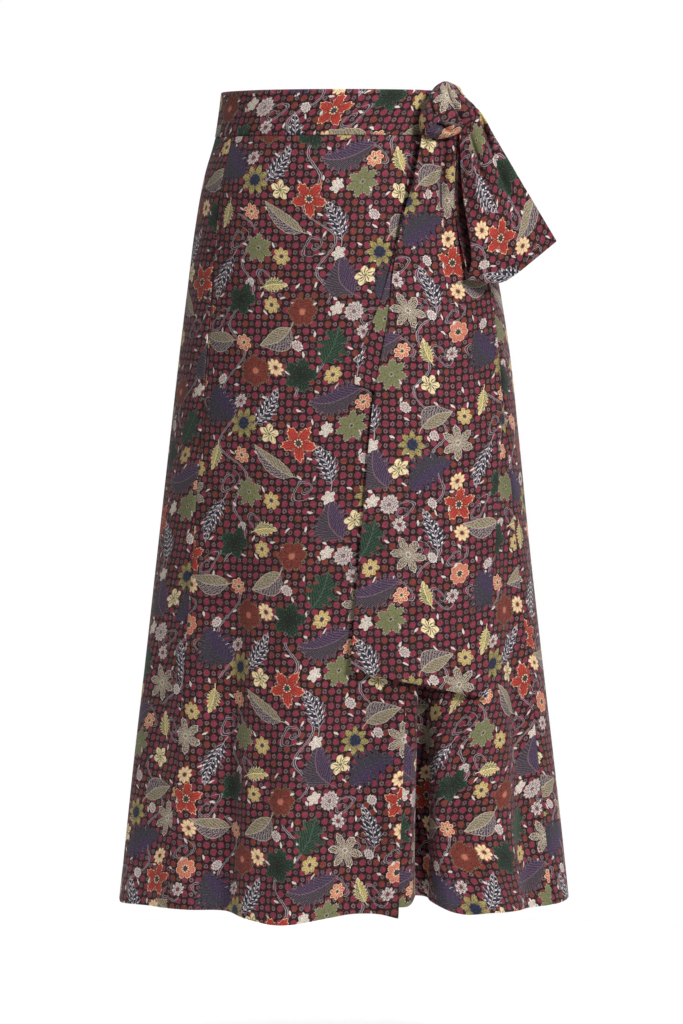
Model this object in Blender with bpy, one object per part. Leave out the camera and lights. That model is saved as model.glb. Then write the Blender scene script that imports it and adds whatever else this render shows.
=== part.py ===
"""Wrap skirt: a flared skirt whose front crosses over, on a waistband, with a sash tied in a half bow.

Metres, +Z up. The origin is the centre of the waistband's ring, halfway up the band. The front faces -Y
and the wearer's left is +X. An angle is in degrees round the skirt, 0 at the front centre and growing
towards +X. A "line" is a thread line of the cloth that runs from the waist to the hem, named by its angle
at the hem; "down" is 0 at the waistband's seam and 1 at the hem.
"""

import bpy
import numpy as np

# Sizes of the cut and made garment
BAND_HEIGHT = 0.049
SKIRT_DROP = 0.8315
BAND_WALL = 0.0030
PANEL_WALL = 0.0016
SASH_WALL = 0.0014
SEAM_GAP = 0.0003
LAYER_STEP = 0.0036  # how far the over front stands outside the under front
CLIMB_MARGIN = 2.0  # degrees before the under front's edge by which the over front stands fully outside
LINE_DRIFT = 1.7  # how soon a line leaves its angle at the waist for its angle at the hem
BAND_TOP = BAND_HEIGHT / 2
BAND_BOTTOM = -BAND_HEIGHT / 2

# Lines where the panels begin and end
RIGHT_SEAM = -50.0
UNDER_EDGE = -25.0
OVER_EDGE = 14.0
LEFT_SEAM = 68.0

# Spacing of the mesh, in degrees of line, and of the panels' rows, which widen towards the hem
FINE_STEP = 1.5
FRONT_STEP = 3.0
BACK_STEP = 4.5
VALLEY_END = 33.5
PANEL_ROWS = 17
PANEL_ROW_SPREAD = 1.2
BAND_ROWS = 3

# Finish of the cloth
ROUGHNESS = 0.85
OVER_COLOUR = (0.085, 0.035, 0.040)
UNDER_COLOUR = (0.070, 0.030, 0.036)
BACK_COLOUR = (0.078, 0.033, 0.038)
BAND_COLOUR = (0.090, 0.036, 0.042)
KNOT_COLOUR = (0.080, 0.034, 0.046)
LOOP_COLOUR = (0.082, 0.034, 0.040)
LONG_END_COLOUR = (0.088, 0.036, 0.042)
SHORT_END_COLOUR = (0.076, 0.032, 0.040)


def table(columns, rows):
    """The rows of a table as one array for each named column."""
    return dict(zip(columns.split(), np.array(rows, float).T))


# Half-sizes of the skirt's level sections
SECTIONS = table(
    "height left right front back",
    [
        (-0.8700, 0.2450, 0.2490, 0.1590, 0.1660),
        (-0.7505, 0.2318, 0.2365, 0.1535, 0.1600),
        (-0.5840, 0.2130, 0.2180, 0.1450, 0.1520),
        (-0.4680, 0.2000, 0.2050, 0.1390, 0.1460),
        (-0.3480, 0.1864, 0.1930, 0.1310, 0.1400),
        (-0.2570, 0.1760, 0.1830, 0.1240, 0.1340),
        (-0.1790, 0.1663, 0.1705, 0.1175, 0.1275),
        (-0.1290, 0.1600, 0.1610, 0.1135, 0.1215),
        (-0.0630, 0.1480, 0.1475, 0.1070, 0.1120),
        (-0.0245, 0.1370, 0.1370, 0.1010, 0.1030),
        (0.0245, 0.1300, 0.1300, 0.0960, 0.0960),
        (0.0400, 0.1290, 0.1290, 0.0955, 0.0955),
    ],
)

# Angle at the waist of the line that ends at each angle at the hem
LINES = table(
    "hem waist",
    [(-180, -180), (-50, -60), (-25, -30), (14, 43), (68, 68), (180, 180)],
)

# Hanging folds: the line in the middle, half the width, depth outwards, and how far down the fold starts
FOLDS = table(
    "line width depth start",
    [
        (-72, 14, 0.006, 0.40),
        (-48, 10, 0.004, 0.30),
        (-33, 9.5, -0.021, 0.24),
        (-14, 12, 0.018, 0.30),
        (4, 9, -0.014, 0.42),
        (22, 5.5, -0.036, 0.45),
        (40, 11, 0.008, 0.35),
        (59, 11, -0.012, 0.32),
        (78, 13, 0.004, 0.45),
        (103, 15, -0.010, 0.30),
        (128, 16, 0.014, 0.25),
        (152, 14, -0.016, 0.30),
        (177, 16, 0.013, 0.20),
        (205, 16, -0.016, 0.30),
        (231, 15, 0.014, 0.25),
        (257, 14, -0.007, 0.35),
    ],
)

# How far the hem rises above its level
HEM = table(
    "line lift",
    [
        (-180, 0.001),
        (-95, 0.001),
        (-55, 0.005),
        (-33, 0.004),
        (-16, -0.004),
        (4, 0.005),
        (10, 0.005),
        (14, 0.001),
        (40, 0.005),
        (68, 0.003),
        (92, 0.009),
        (180, 0.001),
    ],
)

# How much further the under front's hem rises, most of all in the deep fold beside the over front's edge
UNDER_HEM = table(
    "line lift",
    [
        (-30, 0.008),
        (10, 0.010),
        (16, 0.013),
        (22, 0.021),
        (26.5, 0.009),
        (31, 0.001),
        (40, -0.002),
        (57, -0.002),
        (68, 0.0),
    ],
)

# The knot's level rings, on axes along the waistband and out from it
KNOT_ANGLE = 48.5
KNOT_SEAT = 0.0012
KNOT_SIDES = 24
KNOT_SQUARENESS = 0.75
KNOT = table(
    "height along across deep",
    [
        (-0.0290, -0.0175, 0.0135, 0.0095),
        (-0.0255, -0.0155, 0.0195, 0.0130),
        (-0.0180, -0.0105, 0.0262, 0.0175),
        (-0.0080, -0.0045, 0.0318, 0.0205),
        (0.0046, -0.0027, 0.0310, 0.0205),
        (0.0142, -0.0052, 0.0236, 0.0180),
        (0.0206, -0.0059, 0.0181, 0.0150),
        (0.0270, -0.0048, 0.0137, 0.0115),
        (0.0330, -0.0065, 0.0055, 0.0055),
    ],
)

# The sash's hanging ends: their side edges, and how far they stand off the skirt's section
LONG_END = table(
    "height left right off",
    [
        (-0.6300, 0.0070, 0.1500, 0.0110),
        (-0.5915, 0.0090, 0.1515, 0.0100),
        (-0.4200, 0.0225, 0.1610, 0.0078),
        (-0.2997, 0.0335, 0.1650, 0.0078),
        (-0.2125, 0.0485, 0.1575, 0.0078),
        (-0.1600, 0.0539, 0.1490, 0.0082),
        (-0.1119, 0.0625, 0.1385, 0.0100),
        (-0.0754, 0.0708, 0.1310, 0.0130),
        (-0.0400, 0.0758, 0.1260, 0.0180),
        (-0.0100, 0.0775, 0.1160, 0.0240),
    ],
)
LONG_HEM_LEFT = -0.5915
LONG_HEM_RIGHT = -0.6237
SHORT_END = table(
    "height left right off",
    [
        (-0.3400, 0.0120, 0.1500, 0.0047),
        (-0.2888, 0.0133, 0.1510, 0.0047),
        (-0.2710, 0.0144, 0.1500, 0.0047),
        (-0.2020, 0.0400, 0.1430, 0.0047),
        (-0.1540, 0.0539, 0.1360, 0.0048),
        (-0.0754, 0.0790, 0.1240, 0.0075),
        (-0.0400, 0.0890, 0.1180, 0.0105),
        (-0.0100, 0.1000, 0.1100, 0.0150),
    ],
)
SHORT_HEM_LEFT = -0.2888
SHORT_HEM_RIGHT = -0.3360
SASH_ROOT = -0.0100
SASH_COLUMNS = 12
SASH_ROW_SPREAD = 1.25
LONG_ROWS = 22
SHORT_ROWS = 14
GATHER_WAVES = 2.2
GATHER_START = 0.55  # share of a wave at which the first pleat begins
GATHER_DEPTH = 0.0028
GATHER_REACH = 0.07

# The bow's loop: where its cloth leaves the knot and where it folds back, from its inner to its outer edge
LOOP = table(
    "across root_x root_z fold_x fold_z depth",
    [
        (0.00, 0.1262, -0.0190, 0.1340, -0.1790, -0.1000),
        (0.36, 0.1290, -0.0100, 0.1745, -0.1800, -0.0960),
        (0.46, 0.1295, -0.0070, 0.1835, -0.1745, -0.0940),
        (0.72, 0.1310, 0.0010, 0.2060, -0.1570, -0.0870),
        (1.00, 0.1340, 0.0100, 0.2300, -0.1375, -0.0780),
    ],
)
LOOP_ROOT_DEPTH = -0.0860
LOOP_THICKNESS = 0.0170
LOOP_SHOULDER = 0.0135
LOOP_SHOULDER_REACH = 0.15
LOOP_PINCH = 0.50
LOOP_BACK_SHIFT = 0.0085
LOOP_FRONT_SHIFT = 0.0075
LOOP_COLUMNS = 10
LOOP_STEPS = 26


def smooth(at, xs, ys):
    """A cubic through the rows, each row's slope being that of its neighbours."""
    slopes = np.gradient(ys, xs)
    at = np.clip(at, xs[0], xs[-1])
    low = np.clip(np.searchsorted(xs, at) - 1, 0, len(xs) - 2)
    span = xs[low + 1] - xs[low]
    t = (at - xs[low]) / span
    start = (2 * t**3 - 3 * t**2 + 1) * ys[low] + (t**3 - 2 * t**2 + t) * span * slopes[low]
    end = (3 * t**2 - 2 * t**3) * ys[low + 1] + (t**3 - t**2) * span * slopes[low + 1]
    return start + end


def ease(t):
    """0 to 1 as t goes from 0 to 1, level at both ends."""
    t = np.clip(t, 0, 1)
    return t * t * (3 - 2 * t)


def within_turn(angle):
    """The same angle between -180 and 180."""
    return (angle + 180) % 360 - 180


def cloth_angle(line, down):
    """A line's angle round the skirt at this far down."""
    turns = line - within_turn(line)
    at_waist = np.interp(within_turn(line), LINES["hem"], LINES["waist"]) + turns
    drift = down * (LINE_DRIFT + (1 - LINE_DRIFT) * down)
    return at_waist + (line - at_waist) * drift


def fold_depth(line, down):
    """Each fold is a raised cosine across the cloth that grows from its start to the hem."""
    total = np.zeros(np.broadcast(line, down).shape)
    for middle, width, depth, start in zip(*FOLDS.values()):
        across = np.clip(within_turn(line - middle) / width, -1, 1)
        grown = ease((down - start) / (1 - start))
        total += depth * grown * (1 + np.cos(np.pi * across)) / 2
    return total


def on_section(angle, height, out):
    """Points on the level section at a height, moved outwards by out."""
    angle, height, out = np.broadcast_arrays(np.radians(angle), height, out)
    half = {name: smooth(height, SECTIONS["height"], SECTIONS[name]) for name in SECTIONS}
    across = np.where(np.sin(angle) >= 0, half["right"], half["left"])
    deep = np.where(np.cos(angle) >= 0, half["front"], half["back"])
    normal = np.stack([np.sin(angle) / across, -np.cos(angle) / deep])
    normal = normal / np.linalg.norm(normal, axis=0)
    x = across * np.sin(angle) + out * normal[0]
    y = -deep * np.cos(angle) + out * normal[1]
    return np.stack([x, y, height], axis=-1)


def layer_lift(line):
    """0 on the back and under front, rising past the right seam to a full step where the fronts overlap."""
    climb = UNDER_EDGE - CLIMB_MARGIN - RIGHT_SEAM
    return LAYER_STEP * ease((line - (RIGHT_SEAM + 360)) / climb)


def add_object(name, points, faces, colour):
    """A smooth mesh object in the scene, with its own cloth material."""
    mesh = bpy.data.meshes.new(name)
    mesh.from_pydata(points.reshape(-1, 3).tolist(), [], faces)
    mesh.validate()
    mesh.shade_smooth()
    obj = bpy.data.objects.new(name, mesh)
    bpy.context.scene.collection.objects.link(obj)
    material = bpy.data.materials.new(name + "_cloth")
    material.use_nodes = True
    shader = material.node_tree.nodes["Principled BSDF"]
    shader.inputs["Base Color"].default_value = (*colour, 1)
    shader.inputs["Roughness"].default_value = ROUGHNESS
    mesh.materials.append(material)
    return obj


def grid_faces(rows, columns, first, flip):
    """Quads of a grid of points whose numbering begins at first."""
    corner = first + np.arange(rows * columns).reshape(rows, columns)
    quads = np.stack([corner[:-1, :-1], corner[1:, :-1], corner[1:, 1:], corner[:-1, 1:]], axis=-1)
    quads = quads.reshape(-1, 4)
    return quads[:, ::-1] if flip else quads


def rim_faces(outer_edge, inner_edge):
    """Quads that close a wall between matching edges of its outer and inner faces."""
    return np.stack([outer_edge[:-1], outer_edge[1:], inner_edge[1:], inner_edge[:-1]], axis=-1)


def add_wall(name, outer, inner, colour):
    """A closed wall between two grids of points. Rows run down and columns to the viewer's right."""
    rows, columns = outer.shape[:2]
    count = rows * columns
    number = np.arange(count).reshape(rows, columns)
    around = np.concatenate([number[0, ::-1], number[1:, 0], number[-1, 1:], number[-2::-1, -1]])
    faces = np.concatenate(
        [
            grid_faces(rows, columns, 0, False),
            grid_faces(rows, columns, count, True),
            rim_faces(around[::-1], around[::-1] + count),
        ]
    )
    points = np.concatenate([outer.reshape(-1, 3), inner.reshape(-1, 3)])
    return add_object(name, points, faces.tolist(), colour)


def steps(start, end, step):
    """Evenly spaced lines from start to end, about one step apart."""
    return np.linspace(start, end, 1 + round((end - start) / step))


def panel_lines(*stretches):
    """A panel's lines from stretches of (start, end, step), half a seam's gap in from each side."""
    lines = np.concatenate([steps(*stretch)[:-1] for stretch in stretches] + [[stretches[-1][1]]])
    half_gap = np.degrees(SEAM_GAP / 2 / SECTIONS["front"].min())
    lines[0] += half_gap
    lines[-1] -= half_gap
    return lines[None, :]


def panel_points(line, hem_lift, out):
    """A panel's points: rows down the lines, closer together over the hip than below it."""
    down = np.linspace(0, 1, PANEL_ROWS)[:, None] ** PANEL_ROW_SPREAD
    lift = smooth(within_turn(line), HEM["line"], HEM["lift"]) + hem_lift
    height = BAND_BOTTOM - SEAM_GAP - down * (SKIRT_DROP - lift)
    return on_section(cloth_angle(line, down), height, out + fold_depth(line, down))


def add_panel(name, line, hem_lift, colour):
    lift = layer_lift(line)
    outer = panel_points(line, hem_lift, lift)
    inner = panel_points(line, hem_lift, lift - PANEL_WALL)
    add_wall(name, outer, inner, colour)


def add_over_front():
    """The wearer's right front, from the right side seam to its free edge left of the middle."""
    line = panel_lines((RIGHT_SEAM + 360, OVER_EDGE + 360, FRONT_STEP))
    add_panel("front_over", line, 0, OVER_COLOUR)


def add_under_front():
    """The wearer's left front, from its free edge under the over front to the left side seam."""
    line = panel_lines(
        (UNDER_EDGE, OVER_EDGE, FRONT_STEP),
        (OVER_EDGE, VALLEY_END, FINE_STEP),
        (VALLEY_END, LEFT_SEAM, FRONT_STEP),
    )
    hem_lift = smooth(line, UNDER_HEM["line"], UNDER_HEM["lift"])
    add_panel("front_under", line, hem_lift, UNDER_COLOUR)


def add_back():
    """The back, from one side seam to the other."""
    line = panel_lines((LEFT_SEAM, RIGHT_SEAM + 360, BACK_STEP))
    add_panel("back", line, 0, BACK_COLOUR)


def add_waistband():
    """One band from its inner end under the front, round the back, to its outer end under the knot."""
    line = np.concatenate(
        [
            steps(UNDER_EDGE, LEFT_SEAM, FRONT_STEP)[:-1],
            steps(LEFT_SEAM, RIGHT_SEAM + 360, BACK_STEP)[:-1],
            steps(RIGHT_SEAM + 360, OVER_EDGE + 360, FRONT_STEP),
        ]
    )[None, :]
    height = np.linspace(BAND_TOP, BAND_BOTTOM, BAND_ROWS)[:, None]
    proud = layer_lift(line) + (BAND_WALL - PANEL_WALL) / 2
    outer = on_section(cloth_angle(line, 0), height, proud)
    inner = on_section(cloth_angle(line, 0), height, proud - BAND_WALL)
    add_wall("waistband", outer, inner, BAND_COLOUR)


def knot_points(grown):
    """Squared-off rings from the bottom up, each resting on the waistband, all grown by a margin."""
    seat_height = np.clip(KNOT["height"], BAND_BOTTOM, BAND_TOP)
    seats = on_section(KNOT_ANGLE, seat_height, LAYER_STEP + KNOT_SEAT)
    ahead = on_section(KNOT_ANGLE, 0.0, 1.0) - on_section(KNOT_ANGLE, 0.0, 0.0)
    beside = np.array([-ahead[1], ahead[0], 0])
    turn = np.linspace(0, 2 * np.pi, KNOT_SIDES, endpoint=False)
    round_x = np.sign(np.cos(turn)) * np.abs(np.cos(turn)) ** KNOT_SQUARENESS
    round_y = np.sign(np.sin(turn)) * np.abs(np.sin(turn)) ** KNOT_SQUARENESS
    middle = KNOT["deep"].max()
    rings = []
    for seat, height, along, across, deep in zip(seats, *KNOT.values()):
        sideways = along + (across + grown) * round_x
        outwards = middle + (deep + grown) * round_y
        ring = seat + sideways[:, None] * beside + outwards[:, None] * ahead
        ring[:, 2] = height + grown * np.sign(height)
        rings.append(ring)
    return np.array(rings)


def add_knot(name, grown):
    """The knot as one closed lump, or, grown by a gap, the cutter that clears it from the sash."""
    points = knot_points(grown)
    rings, sides = points.shape[:2]
    wrapped = np.concatenate([np.arange(sides), [0]])
    number = np.arange(rings * sides).reshape(rings, sides)[:, wrapped]
    quads = np.stack([number[:-1, :-1], number[1:, :-1], number[1:, 1:], number[:-1, 1:]], axis=-1)
    faces = quads.reshape(-1, 4).tolist()
    faces.append(number[0, :-1].tolist())
    faces.append(number[-1, :-1][::-1].tolist())
    return add_object(name, points, faces, KNOT_COLOUR)


def cut_clear_of_knot(obj, cutter):
    """Takes away what would lie inside the knot, a seam's gap included."""
    cut = obj.modifiers.new("knot", "BOOLEAN")
    cut.object = cutter
    cut.operation = "DIFFERENCE"


def gathers(across, height):
    """Soft pleats across the sash that die away below the knot."""
    fade = np.exp(-np.clip(SASH_ROOT - height, 0, None) / GATHER_REACH)
    return GATHER_DEPTH * fade * np.cos(2 * np.pi * (GATHER_WAVES * across - GATHER_START))


def add_hanging_end(name, edges, hem_left, hem_right, rows, colour):
    """A tail of the sash: straight threads from the knot to a slanting hem, lying on the skirt."""
    across = np.linspace(0, 1, SASH_COLUMNS + 1)[None, :]
    down = np.linspace(0, 1, rows)[:, None] ** SASH_ROW_SPREAD
    hem = hem_left + (hem_right - hem_left) * across
    height = SASH_ROOT + (hem - SASH_ROOT) * down
    edge = {side: smooth(height, edges["height"], edges[side]) for side in ("left", "right", "off")}
    x = edge["left"] + (edge["right"] - edge["left"]) * across
    half = smooth(height, SECTIONS["height"], SECTIONS["right"])
    angle = np.degrees(np.arcsin(np.clip(x / half, -1, 1)))
    off = edge["off"] + gathers(across, height)
    outer = on_section(angle, height, off + SASH_WALL)
    inner = on_section(angle, height, off)
    return add_wall(name, outer, inner, colour)


def loop_points(inset):
    """The strip's points: out on the front layer, round the fold and back, moved in by inset."""
    across = np.linspace(0, 1, LOOP_COLUMNS + 1)[None, :]
    turn = np.linspace(0, 2 * np.pi, LOOP_STEPS + 1)[:, None]
    reach = (1 - np.cos(turn)) / 2
    column = {name: smooth(across, LOOP["across"], LOOP[name]) for name in LOOP}
    back_layer = (1 - np.sin(turn)) / 2 * np.sin(np.pi * reach)
    x = column["root_x"] + (column["fold_x"] - column["root_x"]) * reach
    x = x - LOOP_BACK_SHIFT * back_layer * (1 - across)
    front_layer = (1 + np.sin(turn)) / 2 * np.sin(np.pi * reach**4)
    x = x + LOOP_FRONT_SHIFT * front_layer * (1 - across) ** 3
    z = column["root_z"] + (column["fold_z"] - column["root_z"]) * reach
    z = z + LOOP_SHOULDER * across**2 * (1 - reach) * ease(reach / LOOP_SHOULDER_REACH)
    middle = LOOP_ROOT_DEPTH + (column["depth"] - LOOP_ROOT_DEPTH) * reach
    swell = LOOP_THICKNESS / 2 * (LOOP_PINCH + (1 - LOOP_PINCH) * reach)
    y = middle - swell * np.sin(turn)
    points = np.stack(np.broadcast_arrays(x, y, z), axis=-1)
    along = np.gradient(points, axis=0)
    sideways = np.gradient(points, axis=1)
    normal = np.cross(along, sideways)
    normal = normal / np.linalg.norm(normal, axis=-1, keepdims=True)
    return points - inset * normal


def add_loop():
    """The half bow's one loop, open at both ends of its fold."""
    return add_wall("sash_loop", loop_points(0), loop_points(SASH_WALL), LOOP_COLOUR)


def main():
    for obj in list(bpy.data.objects):
        bpy.data.objects.remove(obj)
    add_waistband()
    add_over_front()
    add_under_front()
    add_back()
    add_knot("sash_knot", 0)
    cutter = add_knot("knot_clearance", SEAM_GAP)
    cutter.hide_render = True
    cutter.display_type = "WIRE"
    long_end = add_hanging_end(
        "sash_long_end", LONG_END, LONG_HEM_LEFT, LONG_HEM_RIGHT, LONG_ROWS, LONG_END_COLOUR
    )
    short_end = add_hanging_end(
        "sash_short_end", SHORT_END, SHORT_HEM_LEFT, SHORT_HEM_RIGHT, SHORT_ROWS, SHORT_END_COLOUR
    )
    for piece in (long_end, short_end, add_loop()):
        cut_clear_of_knot(piece, cutter)


main()
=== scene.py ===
"""Wrap skirt: its cloth, print, creases and bow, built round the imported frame.

Metres, or mm where a comment says so. +Z is up, the origin is the centre of the waistband's ring, the front
faces -Y and the wearer's left is +X. An angle is in degrees round the skirt, 0 at the front centre and
growing towards +X. A "line" is a thread line of the cloth from the waist to the hem, named by its angle at
the hem; "down" is 0 at the waistband's seam and 1 at the hem.
"""

from types import SimpleNamespace

import bpy
import numpy as np
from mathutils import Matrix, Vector


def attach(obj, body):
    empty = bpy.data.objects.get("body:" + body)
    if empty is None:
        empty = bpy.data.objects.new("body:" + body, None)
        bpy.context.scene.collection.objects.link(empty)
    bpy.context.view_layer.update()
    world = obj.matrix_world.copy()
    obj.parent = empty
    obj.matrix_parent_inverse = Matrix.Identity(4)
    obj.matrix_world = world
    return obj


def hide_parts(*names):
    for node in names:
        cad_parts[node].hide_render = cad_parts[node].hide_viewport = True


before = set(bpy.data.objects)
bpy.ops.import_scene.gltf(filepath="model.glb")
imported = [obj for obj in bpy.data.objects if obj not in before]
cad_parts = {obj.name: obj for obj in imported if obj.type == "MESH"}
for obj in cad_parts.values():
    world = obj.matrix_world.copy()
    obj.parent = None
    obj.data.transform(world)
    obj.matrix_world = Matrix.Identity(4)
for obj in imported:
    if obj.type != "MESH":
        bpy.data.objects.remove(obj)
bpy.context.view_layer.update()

# ---- sizes of the cut and made garment

BAND_HEIGHT = 0.049
BAND_TOP = BAND_HEIGHT / 2
BAND_BOTTOM = -BAND_HEIGHT / 2
SKIRT_DROP = 0.8315
BAND_THICK = 0.0027
PANEL_THICK = 0.0013
HEM_THICK = 0.0018
HEM_DEPTH = 0.020
SASH_THICK = 0.0015
SEAM_GAP = 0.0003
MM = 1000  # in a metre
LAYER_STEP = 0.0036
LINE_DRIFT = 1.7
CLIMB_MARGIN = 2.0
CREASE_ENDS = 0.25  # of a crease's depth

RIGHT_SEAM = -50.0
UNDER_EDGE = -25.0
OVER_EDGE = 14.0
LEFT_SEAM = 68.0


def table(columns, rows, units=1):
    """The rows of a table as one array for each named column, over how many of its units make one."""
    return dict(zip(columns.split(), (np.array(rows, float) / units).T))


# Half-sizes of the skirt's level sections, in mm
SECTIONS = table("height left right front back", [
    (-870, 245, 249, 159, 166),
    (-750.5, 231.8, 236.5, 153.5, 160),
    (-584, 213, 218, 145, 152),
    (-468, 200, 205, 139, 146),
    (-348, 186.4, 193, 131, 140),
    (-257, 176, 183, 124, 134),
    (-179, 166.3, 170.5, 117.5, 127.5),
    (-129, 160, 161, 113.5, 121.5),
    (-63, 148, 147.5, 107, 112),
    (-24.5, 137, 137, 101, 103),
    (24.5, 130, 130, 96, 96),
    (40, 129, 129, 95.5, 95.5),
], MM)

# Angle at the waist of the line that ends at each angle at the hem
LINES = table("hem waist", [(-180, -180), (-50, -60), (-25, -30), (14, 43), (68, 68), (180, 180)])

# Hanging folds: the line in the middle, half the width, depth outwards in mm, and how far down it starts
FOLDS = np.array([
    (-72, 14, 6, 0.40), (-48, 10, 4, 0.30), (-33, 9.5, -21, 0.24), (-14, 12, 18, 0.30),
    (4, 9, -14, 0.42), (22, 5.5, -36, 0.45), (40, 11, 8, 0.35), (59, 11, -12, 0.32),
    (78, 13, 4, 0.45), (103, 15, -10, 0.30), (128, 16, 14, 0.25), (152, 14, -16, 0.30),
    (177, 16, 13, 0.20), (205, 16, -16, 0.30), (231, 15, 14, 0.25), (257, 14, -7, 0.35),
]) / (1, 1, MM, 1)

# How far the hem rises above its level, in mm, and how much further the under front's does
HEM = table("line lift", [
    (-180, 1), (-95, 1), (-55, 5), (-33, 4), (-16, -4), (4, 5),
    (10, 5), (14, 1), (40, 5), (68, 3), (92, 9), (180, 1),
], (1, MM))
UNDER_HEM = table("line lift", [
    (-30, 8), (10, 10), (16, 13), (22, 21), (26.5, 9), (31, 1), (40, -2), (57, -2), (68, 0),
], (1, MM))

# The sash's hanging ends, in mm: their side edges, and how far they stand off the skirt's section
LONG_END = table("height left right off", [
    (-630, 7, 150, 11),
    (-591.5, 9, 151.5, 10),
    (-420, 22.5, 161, 7.8),
    (-299.7, 33.5, 165, 7.8),
    (-212.5, 48.5, 157.5, 7.8),
    (-160, 53.9, 149, 8.2),
    (-111.9, 62.5, 138.5, 10),
    (-75.4, 70.8, 131, 13),
    (-40, 75.8, 126, 18),
    (-10, 77.5, 116, 24),
], MM)
LONG_HEM = (-0.5915, -0.6237)  # at its left and right edges
SHORT_END = table("height left right off", [
    (-340, 12, 150, 4.7),
    (-288.8, 13.3, 151, 4.7),
    (-271, 14.4, 150, 4.7),
    (-202, 40, 143, 4.7),
    (-154, 53.9, 136, 4.8),
    (-75.4, 79, 124, 7.5),
    (-40, 89, 118, 10.5),
    (-10, 100, 110, 15),
], MM)
SHORT_HEM = (-0.2888, -0.3360)
SASH_ROOT = -0.0100
GATHER_WAVES = 2.2
GATHER_START = 0.55
GATHER_DEPTH = 0.0028
GATHER_REACH = 0.07

# The bow's loop, in mm: where its cloth leaves the knot and where it folds back, from inner to outer edge
LOOP = table("across root_x root_z fold_x fold_z depth", [
    (0.00, 126.2, -19, 134, -179, -100),
    (0.36, 129, -10, 174.5, -180, -96),
    (0.46, 129.5, -7, 183.5, -174.5, -94),
    (0.72, 131, 1, 206, -157, -87),
    (1.00, 134, 10, 230, -137.5, -78),
], (1, MM, MM, MM, MM, MM))
LOOP_ROOT_DEPTH = -0.0860
LOOP_THICKNESS = 0.0170
LOOP_SHOULDER = 0.0135
LOOP_SHOULDER_REACH = 0.15
LOOP_PINCH = 0.50
LOOP_BACK_SHIFT = 0.0085
LOOP_FRONT_SHIFT = 0.0075

KNOT_ANGLE = 48.5
KNOT_SEAT = 0.0012


# ---- the garment's form


def smooth(at, xs, ys):
    """A cubic through the rows, each row's slope being that of its neighbours."""
    slopes = np.gradient(ys, xs)
    at = np.clip(at, xs[0], xs[-1])
    low = np.clip(np.searchsorted(xs, at) - 1, 0, len(xs) - 2)
    span = xs[low + 1] - xs[low]
    t = (at - xs[low]) / span
    start = (2 * t**3 - 3 * t**2 + 1) * ys[low] + (t**3 - 2 * t**2 + t) * span * slopes[low]
    end = (3 * t**2 - 2 * t**3) * ys[low + 1] + (t**3 - t**2) * span * slopes[low + 1]
    return start + end


def ease(t):
    """0 to 1 as t goes from 0 to 1, level at both ends: 3t2 - 2t3."""
    t = np.clip(t, 0, 1)
    return t * t * (3 - 2 * t)


def within_turn(angle):
    """The same angle between -180 and 180."""
    return (angle + 180) % 360 - 180


def cloth_angle(line, down):
    """A line's angle round the skirt, from that at the waist to that at the hem by a parabola of down."""
    turns = line - within_turn(line)
    at_waist = np.interp(within_turn(line), LINES["hem"], LINES["waist"]) + turns
    drift = down * (LINE_DRIFT + (1 - LINE_DRIFT) * down)
    return at_waist + (line - at_waist) * drift


def fold_depth(line, down):
    """Sum of the hanging folds, each a raised cosine across the cloth that eases in from its start."""
    total = np.zeros(np.broadcast(line, down).shape)
    for middle, width, depth, start in FOLDS:
        across = np.clip(within_turn(line - middle) / width, -1, 1)
        grown = ease((down - start) / (1 - start))
        total += depth * grown * (1 + np.cos(np.pi * across)) / 2
    return total


def on_section(angle, height, out):
    """Points on the ellipse of a level section, moved out along the ellipse's normal."""
    angle, height, out = np.broadcast_arrays(np.radians(angle), height, out)
    half = {name: smooth(height, SECTIONS["height"], SECTIONS[name]) for name in SECTIONS}
    across = np.where(np.sin(angle) >= 0, half["right"], half["left"])
    deep = np.where(np.cos(angle) >= 0, half["front"], half["back"])
    normal = np.stack([np.sin(angle) / across, -np.cos(angle) / deep])
    normal = normal / np.linalg.norm(normal, axis=0)
    x = across * np.sin(angle) + out * normal[0]
    y = -deep * np.cos(angle) + out * normal[1]
    return np.stack([x, y, height], axis=-1)


def layer_lift(line):
    """0 on the back and under front, easing up past the right seam to a full step over the under front."""
    climb = UNDER_EDGE - CLIMB_MARGIN - RIGHT_SEAM
    return LAYER_STEP * ease((line - (RIGHT_SEAM + 360)) / climb)


def unit(vectors):
    return vectors / np.linalg.norm(vectors, axis=-1, keepdims=True)


def normals(points):
    """Unit normals of a grid whose rows run down and columns to the viewer's right: facing out."""
    return unit(np.cross(np.gradient(points, axis=0), np.gradient(points, axis=1)))


def cloth_places(points):
    """Lengths along the cloth in metres: across each row from the middle column, and down each column."""
    across = np.linalg.norm(np.diff(points, axis=1, prepend=points[:, :1]), axis=-1).cumsum(axis=1)
    down = np.linalg.norm(np.diff(points, axis=0, prepend=points[:1]), axis=-1).cumsum(axis=0)
    middle = points.shape[1] // 2
    return across - across[:, middle : middle + 1], down


def bell(away, width):
    return np.exp(-((away / width) ** 2))


def creased(name, points):
    """Moves a cloth's points out by its creases: a bell across each straight line, fading to its ends."""
    across, down = cloth_places(points)
    relief = np.zeros_like(across)
    for x0, y0, x1, y1, width, depth in np.array(CREASES[name]) / MM:
        run = np.array([x1 - x0, y1 - y0])
        along = ((across - x0) * run[0] + (down - y0) * run[1]) / (run @ run)
        along = np.clip(along, 0, 1)
        away = np.hypot(across - x0 - along * run[0], down - y0 - along * run[1])
        fade = CREASE_ENDS + (1 - CREASE_ENDS) * np.sin(np.pi * along)
        relief += depth * fade * bell(away, width)
    return points + relief[..., None] * normals(points)


# ---- meshes

RIM_STEPS = 3
WRONG_SIDE_SHARE = 0.22  # of the bake map's width
BAKE_MARGIN = 0.02
RIM_BAKE_STEP = 0.004


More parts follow.
